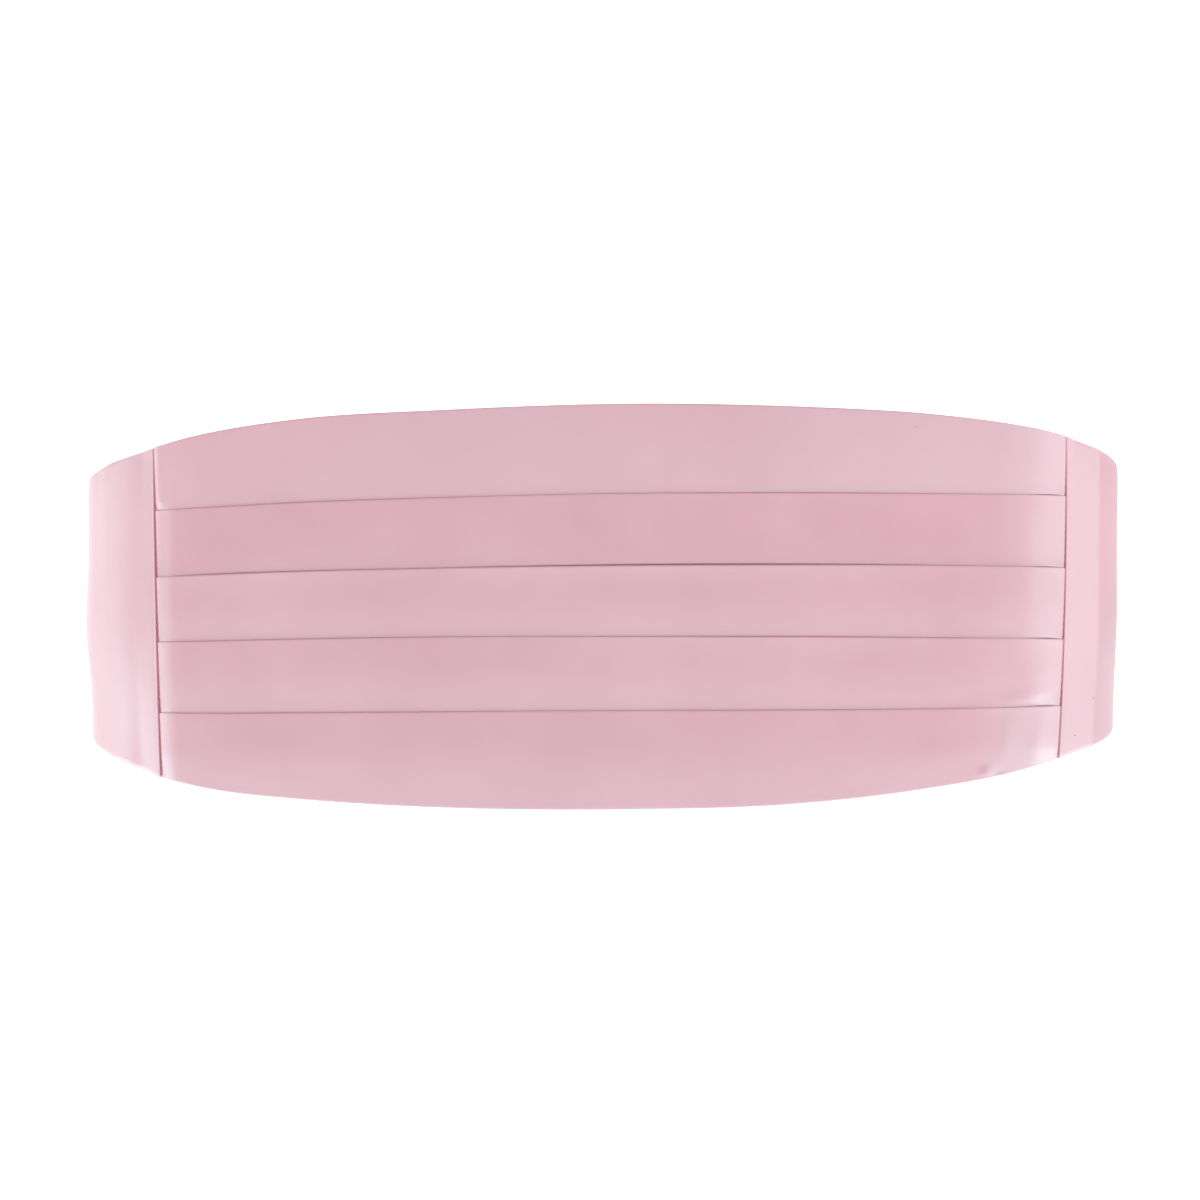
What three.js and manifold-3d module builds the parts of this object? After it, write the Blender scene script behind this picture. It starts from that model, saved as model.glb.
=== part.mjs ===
// Pleated satin cummerbund, closed into the loop that it makes round a waist.
// Millimetres, +Z up. The origin is the middle of the waist hollow, at half the height of the
// front, the front faces -Y, and the clasp is at +Y.
import * as THREE from 'three';
import { mergeVertices } from 'three/addons/utils/BufferGeometryUtils.js';
import Module from 'manifold-3d';

const wasm = await Module();
wasm.setup();

// Waist line in plan: one radius for the front and the back, a tighter one for the two sides.
const waistHalfWidth = 171;
const frontRadius = 262;
const sideRadius = 80;

// Pleated front
const frontHeight = 125;
const frontLength = 315;
// How far the foot of each end seam leans in towards the middle
const leftSeamLean = 2.7;
const rightSeamLean = 4.8;
const clothThickness = 1;
const plyGap = 0.4;
const tierSwell = 0.4;
// Shares of the height of a tier: how far down behind it the tier above reaches, and how far up
// inside the first and the last tier the hem turns.
const pleatReach = 0.45;
const hemReach = 0.2;

// Wings
const wingLength = 165;
const wingThickness = 1.8;
const wingEndHeight = 32;
const wingLift = 0.3;
const wingSlack = 1.5;

// Strap and clasp
const strapWidth = 26;
const strapThickness = 1.5;
const strapTuck = 18;
const strapReturn = 24;
const strapPinch = 16;
const claspLength = 36;
const claspThickness = 3;
const claspBar = 4;
const claspSlot = 4;
const claspRail = 3;
const claspCorner = 4;
const claspFit = 0.5;

// Clearance between pieces that are sewn or laid together
const fit = 0.3;

// Steps of the faceted surfaces
const frontSteps = 28;
const wingSteps = 20;
const wingRows = 8;
const strapStep = 8;
const turnSteps = 6;
const cornerSteps = 4;

const satinPink = 0xe0b2bd;
const strapPink = 0xd9a8b4;
const claspPink = 0xcf9caa;

// Edges and fold lines of the front, from the left seam (-1) to the right seam (1). The heights
// are shares of half the front's height, above or below its middle.
const frontRowTable = [
  { at: -1.0, top: 0.83, fold1: 0.51, fold2: 0.17, fold3: -0.16, fold4: -0.52, bottom: -0.85 },
  { at: -0.85, top: 0.895, fold1: 0.52, fold2: 0.18, fold3: -0.155, fold4: -0.52, bottom: -0.91 },
  { at: -0.65, top: 0.95, fold1: 0.535, fold2: 0.19, fold3: -0.147, fold4: -0.515, bottom: -0.95 },
  { at: -0.35, top: 0.98, fold1: 0.547, fold2: 0.198, fold3: -0.142, fold4: -0.512, bottom: -0.987 },
  { at: 0.0, top: 1.0, fold1: 0.557, fold2: 0.202, fold3: -0.147, fold4: -0.512, bottom: -1.0 },
  { at: 0.35, top: 0.987, fold1: 0.558, fold2: 0.2, fold3: -0.157, fold4: -0.52, bottom: -0.988 },
  { at: 0.65, top: 0.955, fold1: 0.555, fold2: 0.194, fold3: -0.17, fold4: -0.528, bottom: -0.93 },
  { at: 0.85, top: 0.91, fold1: 0.553, fold2: 0.186, fold3: -0.18, fold4: -0.531, bottom: -0.868 },
  { at: 1.0, top: 0.86, fold1: 0.552, fold2: 0.18, fold3: -0.189, fold4: -0.531, bottom: -0.8 },
];
const foldNames = ['fold1', 'fold2', 'fold3', 'fold4'];

// How far each wing edge is still spread, from the seam (1) to the strap end (0).
const wingTaperTable = [
  { at: 0.0, leftTop: 1.0, leftBottom: 1.0, rightTop: 1.0, rightBottom: 1.0 },
  { at: 0.12, leftTop: 0.91, leftBottom: 0.89, rightTop: 0.91, rightBottom: 0.91 },
  { at: 0.24, leftTop: 0.835, leftBottom: 0.8, rightTop: 0.83, rightBottom: 0.83 },
  { at: 0.36, leftTop: 0.76, leftBottom: 0.715, rightTop: 0.74, rightBottom: 0.73 },
  { at: 0.6, leftTop: 0.47, leftBottom: 0.45, rightTop: 0.49, rightBottom: 0.5 },
  { at: 0.85, leftTop: 0.15, leftBottom: 0.15, rightTop: 0.16, rightBottom: 0.16 },
  { at: 1.0, leftTop: 0.0, leftBottom: 0.0, rightTop: 0.0, rightBottom: 0.0 },
];

// Slack of the wings, by height from the top edge (0) to the bottom edge (1): the share of the
// slack by which the cloth stands out of the waist line where the wing turns round the side.
const wingSlackTable = [
  { at: 0.0, left: 0.3, right: 0.8 },
  { at: 0.3, left: 0.25, right: 0.1 },
  { at: 0.55, left: 1.15, right: -0.1 },
  { at: 0.8, left: 0.0, right: -0.95 },
  { at: 1.0, left: -0.1, right: -1.9 },
];

// Plan of the waist line
const frontTurn = Math.asin((waistHalfWidth - sideRadius) / (frontRadius - sideRadius));
const waistHalfDepth = frontRadius - (frontRadius - sideRadius) * Math.cos(frontTurn);
const frontArc = frontRadius * frontTurn;
const sideArc = sideRadius * (Math.PI - 2 * frontTurn);
const halfGirth = 2 * frontArc + sideArc;

// Places that pieces share
const frontHalfLength = frontLength / 2;
const halfHeight = frontHeight / 2;
const wingEndArc = frontHalfLength + fit + wingLength;
const strapOut = wingLift - wingThickness / 2 - fit - strapThickness / 2;
const claspBarArc = halfGirth - claspLength / 2 + claspBar / 2;
const claspOut = strapOut - strapThickness / 2 - claspFit - claspThickness / 2;

// A point on the loop: the distance round the waist from the front's middle, to the right when
// it is positive, the distance out of the waist line, and the height.
function waistPoint(arc, out, height) {
  const side = Math.sign(arc) || 1;
  const distance = Math.abs(arc);
  let turn = distance / frontRadius;
  let radius = frontRadius;
  let centreX = 0;
  let centreY = frontRadius - waistHalfDepth;
  if (distance > frontArc + sideArc) {
    turn = Math.PI - (halfGirth - distance) / frontRadius;
    centreY = waistHalfDepth - frontRadius;
  } else if (distance > frontArc) {
    turn = frontTurn + (distance - frontArc) / sideRadius;
    radius = sideRadius;
    centreX = waistHalfWidth - sideRadius;
    centreY = 0;
  }
  const reach = radius + out;
  return new THREE.Vector3(
    side * (centreX + reach * Math.sin(turn)),
    centreY - reach * Math.cos(turn),
    height,
  );
}

// One column of a table, read between its rows on a smooth curve.
function readTable(table, column, at) {
  const last = table.length - 1;
  let row = 0;
  while (row < last - 1 && at > table[row + 1].at) row += 1;
  const slope = (index) => {
    const before = table[Math.max(index - 1, 0)];
    const after = table[Math.min(index + 1, last)];
    return (after[column] - before[column]) / (after.at - before.at);
  };
  const start = table[row];
  const end = table[row + 1];
  const gap = end.at - start.at;
  const t = THREE.MathUtils.clamp((at - start.at) / gap, 0, 1);
  return (
    start[column] * (1 + 2 * t) * (1 - t) ** 2 +
    slope(row) * gap * t * (1 - t) ** 2 +
    end[column] * t * t * (3 - 2 * t) -
    slope(row + 1) * gap * t * t * (1 - t)
  );
}

// A closed body through rings of points. Each ring goes down one side of a band and up the other,
// so that the end caps are ladders between the two sides.
function loft(rings) {
  const size = rings[0].length;
  const lastRing = (rings.length - 1) * size;
  const points = rings.flat();
  const indices = [];
  for (let ring = 0; ring < lastRing; ring += size) {
    for (let i = 0; i < size; i += 1) {
      const a = ring + i;
      const b = ring + ((i + 1) % size);
      indices.push(a, b, a + size, b, b + size, a + size);
    }
  }
  for (let i = 0; i + 1 < size / 2; i += 1) {
    const far = size - 1 - i;
    indices.push(i, far, i + 1, far, far - 1, i + 1);
    indices.push(lastRing + i, lastRing + i + 1, lastRing + far);
    indices.push(lastRing + far, lastRing + i + 1, lastRing + far - 1);
  }
  if (signedVolume(points, indices) < 0) indices.reverse();
  const geometry = new THREE.BufferGeometry();
  geometry.setAttribute(
    'position',
    new THREE.Float32BufferAttribute(points.flatMap((point) => point.toArray()), 3),
  );
  geometry.setIndex(indices);
  geometry.computeVertexNormals();
  return geometry;
}

// Six times the volume inside the triangles, below zero where their faces point inwards.
function signedVolume(points, indices) {
  let volume = 0;
  for (let i = 0; i < indices.length; i += 3) {
    const [a, b, c] = [points[indices[i]], points[indices[i + 1]], points[indices[i + 2]]];
    volume += a.dot(b.clone().cross(c));
  }
  return volume;
}

// Both sides of a band whose middle line is given, as one outline.
function bandOutline(middle, thickness) {
  const sides = [[], []];
  middle.forEach((point, i) => {
    const before = middle[Math.max(i - 1, 0)];
    const after = middle[Math.min(i + 1, middle.length - 1)];
    const along = after.clone().sub(before).normalize();
    const across = new THREE.Vector2(-along.y, along.x).multiplyScalar(thickness / 2);
    sides[0].push(point.clone().add(across));
    sides[1].push(point.clone().sub(across));
  });
  return [...sides[0], ...sides[1].reverse()];
}

// The points of a half turn between two plies, without its ends. It bends up or down.
function foldPoints(from, to, up) {
  const centre = from.clone().add(to).multiplyScalar(0.5);
  const radius = Math.abs(to.x - from.x) / 2;
  const start = from.x > to.x ? 0 : Math.PI;
  const turn = (from.x > to.x) === up ? Math.PI : -Math.PI;
  return [1 / 3, 2 / 3].map((share) => {
    const angle = start + turn * share;
    return new THREE.Vector2(
      centre.x + radius * Math.cos(angle),
      centre.y + radius * Math.sin(angle),
    );
  });
}

// The cloth of the front in section, at one place along it. x is the distance out of the waist
// line and y the height. It runs from the hem inside the top edge down to the one inside the
// bottom edge. Each tier slips behind the fold of the tier below it, which opens upwards.
function pleatedSection(at) {
  const height = (column) => halfHeight * readTable(frontRowTable, column, at);
  const ply = clothThickness + plyGap;
  const foldRise = ply / 2 + clothThickness / 2;
  const hiddenSlope = (2 * ply) / (frontHeight / (foldNames.length + 1));
  const starts = ['top', ...foldNames].map((column) => height(column) - foldRise);
  const ends = [...foldNames, 'bottom'].map((column) => height(column));
  const topOut = starts.map((_, tier) => (tier === 0 ? 0 : ply));
  const points = [];
  starts.forEach((start, tier) => {
    const isLast = tier === foldNames.length;
    const end = isLast ? ends[tier] + foldRise : ends[tier];
    const faceOut = (share) => (
      THREE.MathUtils.lerp(topOut[tier], -ply, share) + 4 * tierSwell * share * (1 - share)
    );
    const face = [0, 1 / 3, 2 / 3, 1].map((share) => (
      new THREE.Vector2(faceOut(share), THREE.MathUtils.lerp(start, end, share))
    ));
    if (tier === 0) {
      const hem = hemReach * (start - end);
      const hemTop = new THREE.Vector2(face[0].x - ply, start);
      const hemEnd = new THREE.Vector2(face[0].x - ply - hem * hiddenSlope, start - hem);
      points.push(hemEnd, hemTop, ...foldPoints(hemTop, face[0], true));
    }
    points.push(...face);
    if (isLast) {
      const hem = hemReach * (start - end);
      const hemFoot = new THREE.Vector2(-2 * ply, end);
      const hemEnd = new THREE.Vector2(hem * hiddenSlope - 2 * ply, end + hem);
      points.push(...foldPoints(face[3], hemFoot, false), hemFoot, hemEnd);
    } else {
      const reach = pleatReach * (end - ends[tier + 1]);
      const hidden = new THREE.Vector2(-ply - reach * hiddenSlope, end - reach);
      const returnFoot = new THREE.Vector2(-reach * hiddenSlope, end - reach);
      const returnHead = new THREE.Vector2(0, end - foldRise);
      const nextFace = new THREE.Vector2(topOut[tier + 1], end - foldRise);
      points.push(hidden, ...foldPoints(hidden, returnFoot, false), returnFoot, returnHead);
      points.push(...foldPoints(returnHead, nextFace, true));
    }
  });
  return points;
}

// How far a seam stands from the front's middle, by height from its top (0) to its foot (1).
function seamArc(side, drop) {
  return frontHalfLength - (side < 0 ? leftSeamLean : rightSeamLean) * drop * drop;
}

function makeFront() {
  const rings = [];
  for (let step = 0; step <= frontSteps; step += 1) {
    const at = -1 + (2 * step) / frontSteps;
    const top = halfHeight * readTable(frontRowTable, 'top', at);
    const bottom = halfHeight * readTable(frontRowTable, 'bottom', at);
    const outline = bandOutline(pleatedSection(at), clothThickness);
    rings.push(outline.map((point) => {
      const drop = THREE.MathUtils.clamp((top - point.y) / (top - bottom), 0, 1);
      return waistPoint(at * seamArc(at, drop), point.x, point.y);
    }));
  }
  return loft(rings);
}

function makeWing(side) {
  const name = side < 0 ? 'left' : 'right';
  const seamTop = halfHeight * readTable(frontRowTable, 'top', side);
  const seamBottom = halfHeight * readTable(frontRowTable, 'bottom', side);
  const edgeHeight = (edge, seam, end, share) => (
    THREE.MathUtils.lerp(end, seam, readTable(wingTaperTable, `${name}${edge}`, share))
  );
  const rings = [];
  for (let step = 0; step <= wingSteps; step += 1) {
    const share = step / wingSteps;
    const top = edgeHeight('Top', seamTop, wingEndHeight / 2, share);
    const bottom = edgeHeight('Bottom', seamBottom, -wingEndHeight / 2, share);
    const middle = [];
    for (let row = 0; row <= wingRows; row += 1) {
      const drop = row / wingRows;
      const slack = readTable(wingSlackTable, name, drop) * Math.sin(Math.PI * share) ** 2;
      const height = THREE.MathUtils.lerp(top, bottom, drop);
      middle.push(new THREE.Vector2(wingLift + wingSlack * slack, height));
    }
    const outline = bandOutline(middle, wingThickness);
    rings.push(outline.map((point) => {
      const drop = THREE.MathUtils.clamp((top - point.y) / (top - bottom), 0, 1);
      const arc = THREE.MathUtils.lerp(seamArc(side, drop) + fit, wingEndArc, share);
      return waistPoint(side * arc, point.x, point.y);
    }));
  }
  return loft(rings);
}

// The strap starts under the wing's end, passes outside the clasp's bar, turns round it and
// comes back. The return leaves room for the bar and then closes against the strap.
function makeStrap(side) {
  const start = wingEndArc - strapTuck;
  const turnCentre = claspBarArc + claspBar / 2 - claspThickness / 4;
  const turnRadius = strapOut - claspOut;
  const returnFar = strapOut - 2 * turnRadius;
  const returnNear = strapOut - strapThickness - fit;
  const middle = [];
  const runSteps = Math.ceil((turnCentre - start) / strapStep);
  for (let step = 0; step < runSteps; step += 1) {
    middle.push([THREE.MathUtils.lerp(start, turnCentre, step / runSteps), strapOut]);
  }
  for (let step = 0; step <= turnSteps; step += 1) {
    const angle = (Math.PI * step) / turnSteps;
    middle.push([
      turnCentre + turnRadius * Math.sin(angle),
      claspOut + turnRadius * Math.cos(angle),
    ]);
  }
  for (let step = 1; step <= turnSteps; step += 1) {
    const distance = (strapReturn * step) / turnSteps;
    const closed = THREE.MathUtils.smoothstep(distance, claspBar, strapPinch);
    middle.push([turnCentre - distance, THREE.MathUtils.lerp(returnFar, returnNear, closed)]);
  }
  const plan = middle.map(([arc, out]) => {
    const point = waistPoint(side * arc, out, 0);
    return new THREE.Vector2(point.x, point.y);
  });
  const outline = bandOutline(plan, strapThickness);
  const strap = new THREE.ExtrudeGeometry(new THREE.Shape(outline), {
    depth: strapWidth,
    bevelEnabled: false,
  });
  return strap.translate(0, 0, -strapWidth / 2);
}

// A plate in the XY plane with round corners, of the given half lengths along X and Y.
function makePlate(halfLength, halfRise, corner, thickness) {
  const centres = [[1, 1], [-1, 1], [-1, -1], [1, -1]];
  const points = centres.flatMap(([signX, signY], quarter) => (
    Array.from({ length: cornerSteps + 1 }, (_, step) => {
      const angle = (Math.PI / 2) * (quarter + step / cornerSteps);
      return new THREE.Vector2(
        signX * (halfLength - corner) + corner * Math.cos(angle),
        signY * (halfRise - corner) + corner * Math.sin(angle),
      );
    })
  ));
  const plate = new THREE.ExtrudeGeometry(new THREE.Shape(points), {
    depth: thickness,
    bevelEnabled: false,
  });
  return plate.translate(0, 0, -thickness / 2);
}

function toSolid(geometry) {
  const bare = geometry.clone();
  bare.deleteAttribute('normal');
  bare.deleteAttribute('uv');
  const merged = mergeVertices(bare);
  return new wasm.Manifold(new wasm.Mesh({
    numProp: 3,
    vertProperties: new Float32Array(merged.getAttribute('position').array),
    triVerts: new Uint32Array(merged.getIndex().array),
  }));
}

function toGeometry(solid) {
  const mesh = solid.getMesh();
  const geometry = new THREE.BufferGeometry();
  geometry.setAttribute('position', new THREE.BufferAttribute(mesh.vertProperties, 3));
  geometry.setIndex(new THREE.BufferAttribute(mesh.triVerts, 1));
  geometry.computeVertexNormals();
  return geometry;
}

// One flat plate with a slot inside each end, so that each end is a bar for a strap.
function makeClasp() {
  const slotRise = strapWidth / 2 + claspFit;
  const slotX = claspLength / 2 - claspBar - claspSlot / 2;
  let plate = toSolid(
    makePlate(claspLength / 2, slotRise + claspRail, claspCorner, claspThickness),
  );
  for (const x of [-slotX, slotX]) {
    const slot = new THREE.BoxGeometry(claspSlot, 2 * slotRise, 2 * claspThickness);
    plate = plate.subtract(toSolid(slot.translate(x, 0, 0)));
  }
  return toGeometry(plate);
}

function addPiece(group, name, geometry, color, roughness) {
  const material = new THREE.MeshStandardMaterial({ color, roughness, metalness: 0 });
  const mesh = new THREE.Mesh(geometry, material);
  mesh.name = name;
  group.add(mesh);
  return mesh;
}

const cummerbund = new THREE.Group();
cummerbund.name = 'cummerbund';

addPiece(cummerbund, 'pleated_front', makeFront(), satinPink, 0.45);
addPiece(cummerbund, 'wing_left', makeWing(-1), satinPink, 0.45);
addPiece(cummerbund, 'wing_right', makeWing(1), satinPink, 0.45);
addPiece(cummerbund, 'strap_left', makeStrap(-1), strapPink, 0.7);
addPiece(cummerbund, 'strap_right', makeStrap(1), strapPink, 0.7);

const clasp = addPiece(cummerbund, 'clasp', makeClasp(), claspPink, 0.35);
clasp.rotation.x = Math.PI / 2;
clasp.position.y = waistPoint(claspBarArc, claspOut, 0).y;

export default cummerbund;
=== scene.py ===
# Looks of the pleated satin cummerbund. Metres, +Z up, the front faces -Y.
import math

import bpy
import numpy as np
from mathutils import Matrix, Vector


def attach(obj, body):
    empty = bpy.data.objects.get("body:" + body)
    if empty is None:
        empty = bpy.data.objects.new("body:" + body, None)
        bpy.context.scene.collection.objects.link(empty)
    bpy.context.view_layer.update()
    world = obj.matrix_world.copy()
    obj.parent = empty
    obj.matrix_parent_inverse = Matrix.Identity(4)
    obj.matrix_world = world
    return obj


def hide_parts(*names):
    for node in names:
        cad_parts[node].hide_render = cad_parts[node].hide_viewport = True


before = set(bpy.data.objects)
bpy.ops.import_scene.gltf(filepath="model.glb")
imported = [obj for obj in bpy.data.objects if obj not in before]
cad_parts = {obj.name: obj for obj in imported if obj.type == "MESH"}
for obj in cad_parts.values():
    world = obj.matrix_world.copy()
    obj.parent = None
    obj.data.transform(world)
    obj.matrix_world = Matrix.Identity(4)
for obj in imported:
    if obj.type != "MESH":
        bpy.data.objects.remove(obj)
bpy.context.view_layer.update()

MM = 0.001

# Waist line in plan: one radius for the front and the back, a tighter one for the two sides.
WAIST_HALF_WIDTH = 171 * MM
FRONT_RADIUS = 262 * MM
SIDE_RADIUS = 80 * MM

# Pleated front
FRONT_HEIGHT = 125 * MM
FRONT_LENGTH = 314.5 * MM
SEAM_LEAN_LEFT = 2.0 * MM
SEAM_LEAN_RIGHT = 5.4 * MM
CLOTH = 0.27 * MM
PLY = 0.31 * MM
PLEAT_REACH = 13 * MM
TOP_HEM = 11 * MM
BOTTOM_HEM = 5 * MM

# Wings, strap and clasp
WING_LENGTH = 165 * MM
WING_THICKNESS = 1.2 * MM
WING_END_HEIGHT = 32 * MM
WING_SLACK = 1.5 * MM
STRAP_WIDTH = 26 * MM
STRAP_THICKNESS = 1.5 * MM
FIT = 0.3 * MM

# Edges and fold lines of the front, from the left seam (-1) to the right seam (1). The heights
# are shares of half the front's height, above or below its middle.
FRONT_ROWS = (
    ("at", "top", "fold1", "fold2", "fold3", "fold4", "bottom"),
    (-1.00, 0.830, 0.510, 0.170, -0.160, -0.520, -0.850),
    (-0.85, 0.895, 0.520, 0.180, -0.155, -0.520, -0.910),
    (-0.65, 0.950, 0.535, 0.190, -0.147, -0.515, -0.950),
    (-0.35, 0.980, 0.547, 0.198, -0.142, -0.512, -0.987),
    (0.00, 1.000, 0.557, 0.202, -0.147, -0.512, -1.000),
    (0.35, 0.987, 0.558, 0.200, -0.157, -0.520, -0.988),
    (0.65, 0.955, 0.555, 0.194, -0.170, -0.528, -0.930),
    (0.85, 0.910, 0.553, 0.186, -0.180, -0.531, -0.868),
    (1.00, 0.860, 0.552, 0.180, -0.189, -0.531, -0.800),
)

# Tiers from the top. Each one falls back from its own fold to get behind the next one: lean is
# the share of the fall that is even from top to foot, the rest starts lower down, where the
# cloth is no longer backed by its own pleat. From is where, as a share of that backing. Shade is
# how much painted shade of the fold at its foot is put on its face.
TIERS = (
    ("top", "foot", "lean", "from", "shade"),
    ("top", "fold1", 0.92, 0.90, 0.3),
    ("fold1", "fold2", 1.00, 0.50, 1.0),
    ("fold2", "fold3", 0.60, 0.70, 0.5),
    ("fold3", "fold4", 0.60, 0.80, 0.4),
    ("fold4", "bottom", 0.30, 0.95, 0.0),
)

# How far each wing edge is still spread, from the seam (1) to the strap end (0).
WING_TAPER = (
    ("at", "left_top", "left_bottom", "right_top", "right_bottom"),
    (0.00, 1.00, 1.00, 1.00, 1.00),
    (0.12, 0.91, 0.89, 0.91, 0.91),
    (0.24, 0.835, 0.80, 0.83, 0.83),
    (0.36, 0.76, 0.715, 0.74, 0.73),
    (0.60, 0.47, 0.45, 0.49, 0.50),
    (0.85, 0.15, 0.15, 0.16, 0.16),
    (1.00, 0.00, 0.00, 0.00, 0.00),
)

# Share of the slack by which a wing stands out where it turns round the side, by height from
# the top edge (0) to the bottom edge (1).
WING_SLACK_ROWS = (
    ("at", "left", "right"),
    (0.00, 0.60, 1.10),
    (0.30, 0.55, 0.40),
    (0.55, 1.40, 0.25),
    (0.80, 0.75, -0.10),
    (1.00, 0.80, -0.40),
)

# Plan of the waist line
FRONT_TURN = math.asin((WAIST_HALF_WIDTH - SIDE_RADIUS) / (FRONT_RADIUS - SIDE_RADIUS))
WAIST_HALF_DEPTH = FRONT_RADIUS - (FRONT_RADIUS - SIDE_RADIUS) * math.cos(FRONT_TURN)
FRONT_ARC = FRONT_RADIUS * FRONT_TURN
SIDE_ARC = SIDE_RADIUS * (math.pi - 2 * FRONT_TURN)
HALF_GIRTH = 2 * FRONT_ARC + SIDE_ARC
HALF_LENGTH = FRONT_LENGTH / 2
HALF_HEIGHT = FRONT_HEIGHT / 2
WING_END_ARC = HALF_LENGTH + FIT + WING_LENGTH


def waist_points(arc, out, height):
    """Points on the loop, from arrays of the distance round the waist from the front's middle,
    the distance out of the waist line, and the height."""
    arc, out, height = np.broadcast_arrays(arc, out, height)
    distance = np.abs(arc)
    on_side = (distance > FRONT_ARC) & (distance <= FRONT_ARC + SIDE_ARC)
    on_back = distance > FRONT_ARC + SIDE_ARC
    turn = distance / FRONT_RADIUS
    turn = np.where(on_side, FRONT_TURN + (distance - FRONT_ARC) / SIDE_RADIUS, turn)
    turn = np.where(on_back, math.pi - (HALF_GIRTH - distance) / FRONT_RADIUS, turn)
    radius = np.where(on_side, SIDE_RADIUS, FRONT_RADIUS) + out
    centre_x = np.where(on_side, WAIST_HALF_WIDTH - SIDE_RADIUS, 0)
    centre_y = np.where(on_side, 0, FRONT_RADIUS - WAIST_HALF_DEPTH)
    centre_y = np.where(on_back, WAIST_HALF_DEPTH - FRONT_RADIUS, centre_y)
    x = np.where(arc < 0, -1, 1) * (centre_x + radius * np.sin(turn))
    return np.stack([x, centre_y - radius * np.cos(turn), height], axis=-1)


def read_table(table, column, at):
    """One column of a table, read between its rows on a smooth curve."""
    rows = np.array(table[1:])
    places, values = rows[:, 0], rows[:, table[0].index(column)]
    slopes = np.gradient(values, places, edge_order=1)
    at = np.clip(at, places[0], places[-1])
    row = np.clip(np.searchsorted(places, at) - 1, 0, len(places) - 2)
    gap = places[row + 1] - places[row]
    t = (at - places[row]) / gap
    return (
        values[row] * (1 + 2 * t) * (1 - t) ** 2
        + slopes[row] * gap * t * (1 - t) ** 2
        + values[row + 1] * t * t * (3 - 2 * t)
        - slopes[row + 1] * gap * t * t * (1 - t)
    )


def edge_heights(at):
    """Heights of the front's top and bottom edge, at one place along it."""
    return [HALF_HEIGHT * float(read_table(FRONT_ROWS, edge, at)) for edge in ("top", "bottom")]


def rows_of(table):
    return [dict(zip(table[0], row)) for row in table[1:]]


def smooth_step(x):
    x = np.clip(x, 0, 1)
    return x * x * (3 - 2 * x)


def step_between(x, ends):
    low, high = ends
    return smooth_step((x - low) / (high - low))


def half_turn(start, end, up, steps):
    """Points of a half turn between two plies, without its ends. It bends up or down."""
    centre = (start + end) / 2
    radius = abs(end[0] - start[0]) / 2
    angles = np.linspace(0, math.pi, steps + 2)[1:-1]
    side = 1 if start[0] > end[0] else -1
    rise = 1 if up else -1
    return centre + radius * np.stack([side * np.cos(angles), rise * np.sin(angles)], axis=1)


def band_sides(middle, thickness):
    """Both sides of a band whose middle line is given, down one and up the other."""
    along = np.gradient(middle, axis=0)
    along /= np.linalg.norm(along, axis=1, keepdims=True)
    across = np.stack([-along[:, 1], along[:, 0]], axis=1) * thickness / 2
    return np.concatenate([middle + across, (middle - across)[::-1]])


def mesh_object(name, points, faces):
    mesh = bpy.data.meshes.new(name)
    mesh.from_pydata(points.tolist(), [], faces)
    mesh.validate()
    mesh.shade_smooth()
    piece = bpy.data.objects.new(name, mesh)
    bpy.context.collection.objects.link(piece)
    return piece


def loft(name, rings, cloth, painted_shade):
    """A closed body through rings of points. Each ring goes down one side of a band and up the
    other, so the end caps are ladders. cloth holds each point's place on the flat cloth, and
    painted_shade how much painted shade of a fold or seam it gets, from 0 to 1."""
    count, size = rings.shape[:2]
    ring = np.arange(count - 1)[:, None] * size
    i = np.arange(size)[None, :]
    j = (i + 1) % size
    sides = np.stack([ring + i, ring + j, ring + size + j, ring + size + i], axis=-1)
    faces = sides.reshape(-1, 4).tolist()
    last = (count - 1) * size
    for k in range(size // 2 - 1):
        far = size - 1 - k
        faces.append([k, far, far - 1, k + 1])
        faces.append([last + k, last + k + 1, last + far - 1, last + far])
    piece = mesh_object(name, rings.reshape(-1, 3), faces)
    face_out(piece)
    store(piece, "cloth_place", "FLOAT_VECTOR", "vector", cloth)
    store(piece, "painted_fold_shade", "FLOAT", "value", painted_shade)
    return piece


def face_out(piece):
    """Turns the faces of a closed mesh outwards."""
    mesh = piece.data
    mesh.calc_loop_triangles()
    points = np.array([v.co for v in mesh.vertices])
    a, b, c = (points[[t.vertices[k] for t in mesh.loop_triangles]] for k in range(3))
    if (a * np.cross(b, c)).sum() < 0:
        mesh.flip_normals()


def store(piece, name, kind, field, values):
    """Keeps a value of each point with the mesh, for the materials."""
    attribute = piece.data.attributes.new(name, kind, "POINT")
    attribute.data.foreach_set(field, np.ascontiguousarray(values, dtype=np.float32).ravel())


# Pleated front

FRONT_STATIONS = 190
FACE_POINTS = 17
HEM_POINTS = 8
PLY_POINTS = 8
TURN_POINTS = 5
INNER_TURN_POINTS = 3
FIRST_CREST = 3.6

# A pleat reaches at most this share of the last tier, and backs at most that share of its own.
PLEAT_SHARE_OF_LAST = 0.62
BACKING_SHARE = 0.8
FALL_CURVE = 1.3
TURN_RISE = (PLY + CLOTH) / 2
FOLD_SHADE_REACH = 1.3 * MM

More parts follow.
